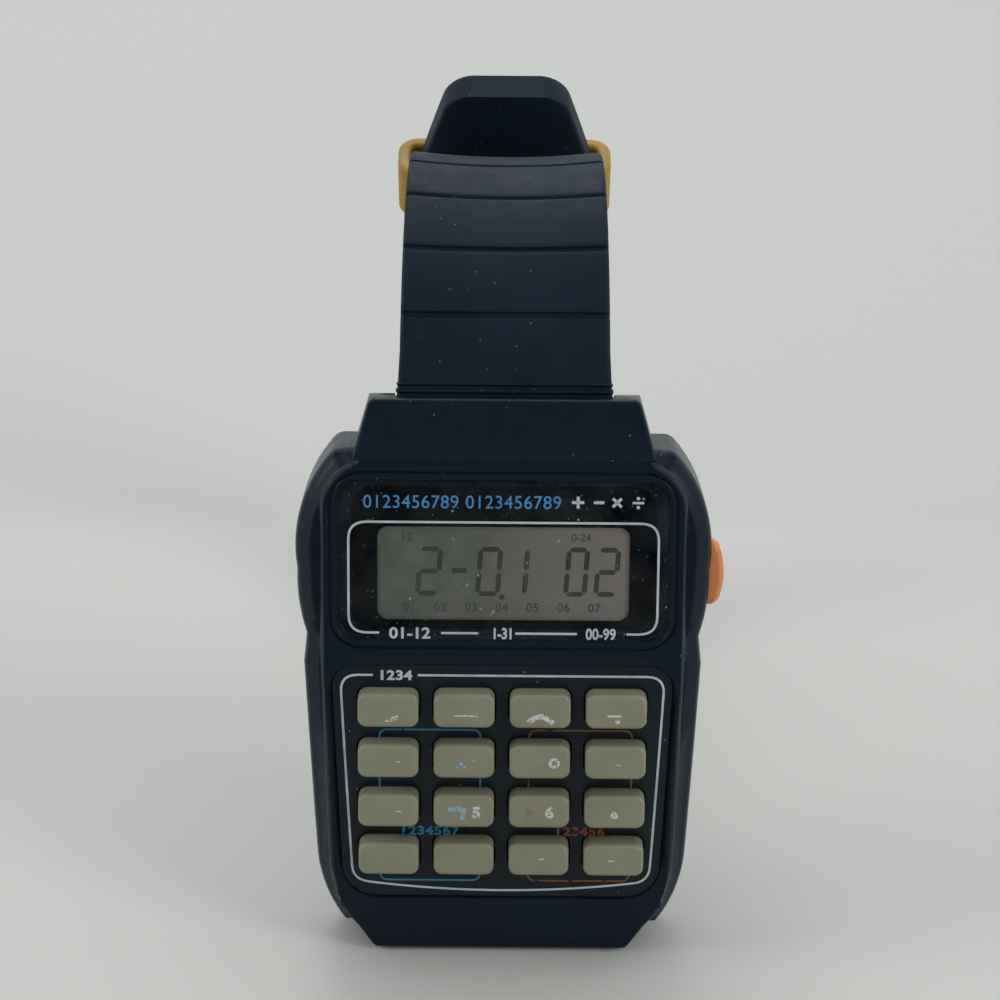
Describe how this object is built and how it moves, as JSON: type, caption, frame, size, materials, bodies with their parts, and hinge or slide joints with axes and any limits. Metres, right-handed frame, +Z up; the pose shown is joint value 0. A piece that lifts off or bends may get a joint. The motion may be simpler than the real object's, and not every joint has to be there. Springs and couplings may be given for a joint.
{
  "type": "calculator watch",
  "caption": "Digital watch with a keypad under its display, an orange side button, and a curved resin strap with a yellow keeper and a pin buckle.",
  "frame": {"origin": "middle of the flat run of the strap that the watch stands on, at table level", "axes": "+X across the strap towards the push button, +Z up, the face looks towards -Y and leans back 18 degrees"},
  "size_m": [0.0356, 0.0599, 0.0583],
  "materials": {
    "case_resin": "satin",
    "strap_resin": "matte",
    "keeper_resin": "matte",
    "printed_plate": "satin",
    "lens_acrylic": "polished",
    "mask_print": "matte",
    "lcd_glass": "polished",
    "reflector_film": "satin",
    "contact_rubber": "matte",
    "frame_plastic": "matte",
    "board_laminate": "satin",
    "blob_resin": "satin",
    "capacitor_ceramic": "matte",
    "bright_steel": "brushed",
    "back_steel": "brushed",
    "insulator_film": "satin",
    "piezo_brass": "satin",
    "seal_rubber": "matte",
    "button_plastic": "satin",
    "buckle_plastic": "satin",
    "key_plastic": "satin"
  },
  "bodies": {
    "tail_half": {"strap_tail_half": "strap_resin"},
    "keeper": {"keeper": "keeper_resin"},
    "watch_head": {"case": "case_resin", "display_lens": "lens_acrylic", "display_mask": "mask_print", "lcd_cell": "lcd_glass", "lcd_reflector": "reflector_film", "zebra_strip_lower": "contact_rubber", "zebra_strip_upper": "contact_rubber", "module_frame": "frame_plastic", "circuit_board": "board_laminate", "module_screws": "bright_steel", "keypad_membrane": "contact_rubber", "keypad_plate": "printed_plate", "chip_blob": "blob_resin", "quartz_crystal": "bright_steel", "chip_capacitors": "capacitor_ceramic", "battery": "bright_steel", "battery_clip": "bright_steel", "battery_insulator": "insulator_film", "piezo_disc": "piezo_brass", "piezo_contact": "piezo_brass", "back_gasket": "seal_rubber", "case_back": "back_steel", "case_back_screws": "bright_steel", "button_seal": "seal_rubber", "button_spring": "bright_steel", "button_contact": "bright_steel", "spring_bar_12": "bright_steel", "spring_bar_6": "bright_steel"},
    "side_button": {"side_button": "button_plastic", "button_clip": "bright_steel"},
    "buckle_half": {"strap_buckle_half": "strap_resin", "buckle_pin": "bright_steel"},
    "buckle_frame": {"buckle_frame": "buckle_plastic"},
    "buckle_prong": {"buckle_prong": "bright_steel"},
    "key_r1c1": {"key_r1c1": "key_plastic"},
    "key_r1c2": {"key_r1c2": "key_plastic"},
    "key_r1c3": {"key_r1c3": "key_plastic"},
    "key_r1c4": {"key_r1c4": "key_plastic"},
    "key_r2c1": {"key_r2c1": "key_plastic"},
    "key_r2c2": {"key_r2c2": "key_plastic"},
    "key_r2c3": {"key_r2c3": "key_plastic"},
    "key_r2c4": {"key_r2c4": "key_plastic"},
    "key_r3c1": {"key_r3c1": "key_plastic"},
    "key_r3c2": {"key_r3c2": "key_plastic"},
    "key_r3c3": {"key_r3c3": "key_plastic"},
    "key_r3c4": {"key_r3c4": "key_plastic"},
    "key_r4c1": {"key_r4c1": "key_plastic"},
    "key_r4c2": {"key_r4c2": "key_plastic"},
    "key_r4c3": {"key_r4c3": "key_plastic"},
    "key_r4c4": {"key_r4c4": "key_plastic"}
  },
  "joints": [
    {"name": "case_tilt", "type": "hinge", "parent": "tail_half", "child": "watch_head", "pos_m": [0, -0.0134, 0.002], "axis": [1, 0, 0], "range_deg": [0, 90]},
    {"name": "buckle_half_swing", "type": "hinge", "parent": "watch_head", "child": "buckle_half", "pos_m": [0, -0.00015, 0.04343], "axis": [1, 0, 0], "range_deg": [-20, 4]},
    {"name": "buckle_frame_swing", "type": "hinge", "parent": "buckle_half", "child": "buckle_frame", "pos_m": [0, 0.03207, 0.02881], "axis": [1, 0, 0], "range_deg": [-60, 3]},
    {"name": "prong_swing", "type": "hinge", "parent": "buckle_frame", "child": "buckle_prong", "pos_m": [0, 0.03207, 0.02881], "axis": [1, 0, 0], "range_deg": [0, 10]},
    {"name": "keeper_slide", "type": "hinge", "parent": "tail_half", "child": "keeper", "pos_m": [0, -0.01888, 0.03386], "axis": [1, 0, 0], "range_deg": [-15, 5]},
    {"name": "key_r1c1_press", "type": "slide", "parent": "watch_head", "child": "key_r1c1", "axis": [0, 0.9603, -0.279], "range_m": [0, 0.0005], "stiffness_N_per_m": 200, "springref_m": -0.0005},
    {"name": "key_r1c2_press", "type": "slide", "parent": "watch_head", "child": "key_r1c2", "axis": [0, 0.9603, -0.279], "range_m": [0, 0.0005], "stiffness_N_per_m": 200, "springref_m": -0.0005},
    {"name": "key_r1c3_press", "type": "slide", "parent": "watch_head", "child": "key_r1c3", "axis": [0, 0.9603, -0.279], "range_m": [0, 0.0005], "stiffness_N_per_m": 200, "springref_m": -0.0005},
    {"name": "key_r1c4_press", "type": "slide", "parent": "watch_head", "child": "key_r1c4", "axis": [0, 0.9603, -0.279], "range_m": [0, 0.0005], "stiffness_N_per_m": 200, "springref_m": -0.0005},
    {"name": "key_r2c1_press", "type": "slide", "parent": "watch_head", "child": "key_r2c1", "axis": [0, 0.9694, -0.2457], "range_m": [0, 0.0005], "stiffness_N_per_m": 200, "springref_m": -0.0005},
    {"name": "key_r2c2_press", "type": "slide", "parent": "watch_head", "child": "key_r2c2", "axis": [0, 0.9694, -0.2457], "range_m": [0, 0.0005], "stiffness_N_per_m": 200, "springref_m": -0.0005},
    {"name": "key_r2c3_press", "type": "slide", "parent": "watch_head", "child": "key_r2c3", "axis": [0, 0.9694, -0.2457], "range_m": [0, 0.0005], "stiffness_N_per_m": 200, "springref_m": -0.0005},
    {"name": "key_r2c4_press", "type": "slide", "parent": "watch_head", "child": "key_r2c4", "axis": [0, 0.9694, -0.2457], "range_m": [0, 0.0005], "stiffness_N_per_m": 200, "springref_m": -0.0005},
    {"name": "key_r3c1_press", "type": "slide", "parent": "watch_head", "child": "key_r3c1", "axis": [0, 0.9773, -0.212], "range_m": [0, 0.0005], "stiffness_N_per_m": 200, "springref_m": -0.0005},
    {"name": "key_r3c2_press", "type": "slide", "parent": "watch_head", "child": "key_r3c2", "axis": [0, 0.9773, -0.212], "range_m": [0, 0.0005], "stiffness_N_per_m": 200, "springref_m": -0.0005},
    {"name": "key_r3c3_press", "type": "slide", "parent": "watch_head", "child": "key_r3c3", "axis": [0, 0.9773, -0.212], "range_m": [0, 0.0005], "stiffness_N_per_m": 200, "springref_m": -0.0005},
    {"name": "key_r3c4_press", "type": "slide", "parent": "watch_head", "child": "key_r3c4", "axis": [0, 0.9773, -0.212], "range_m": [0, 0.0005], "stiffness_N_per_m": 200, "springref_m": -0.0005},
    {"name": "key_r4c1_press", "type": "slide", "parent": "watch_head", "child": "key_r4c1", "axis": [0, 0.984, -0.1781], "range_m": [0, 0.0005], "stiffness_N_per_m": 200, "springref_m": -0.0005},
    {"name": "key_r4c2_press", "type": "slide", "parent": "watch_head", "child": "key_r4c2", "axis": [0, 0.984, -0.1781], "range_m": [0, 0.0005], "stiffness_N_per_m": 200, "springref_m": -0.0005},
    {"name": "key_r4c3_press", "type": "slide", "parent": "watch_head", "child": "key_r4c3", "axis": [0, 0.984, -0.1781], "range_m": [0, 0.0005], "stiffness_N_per_m": 200, "springref_m": -0.0005},
    {"name": "key_r4c4_press", "type": "slide", "parent": "watch_head", "child": "key_r4c4", "axis": [0, 0.984, -0.1781], "range_m": [0, 0.0005], "stiffness_N_per_m": 200, "springref_m": -0.0005},
    {"name": "side_button_press", "type": "slide", "parent": "watch_head", "child": "side_button", "axis": [-1, 0, 0], "range_m": [0, 0.0007], "stiffness_N_per_m": 200, "springref_m": -0.0005}
  ]
}
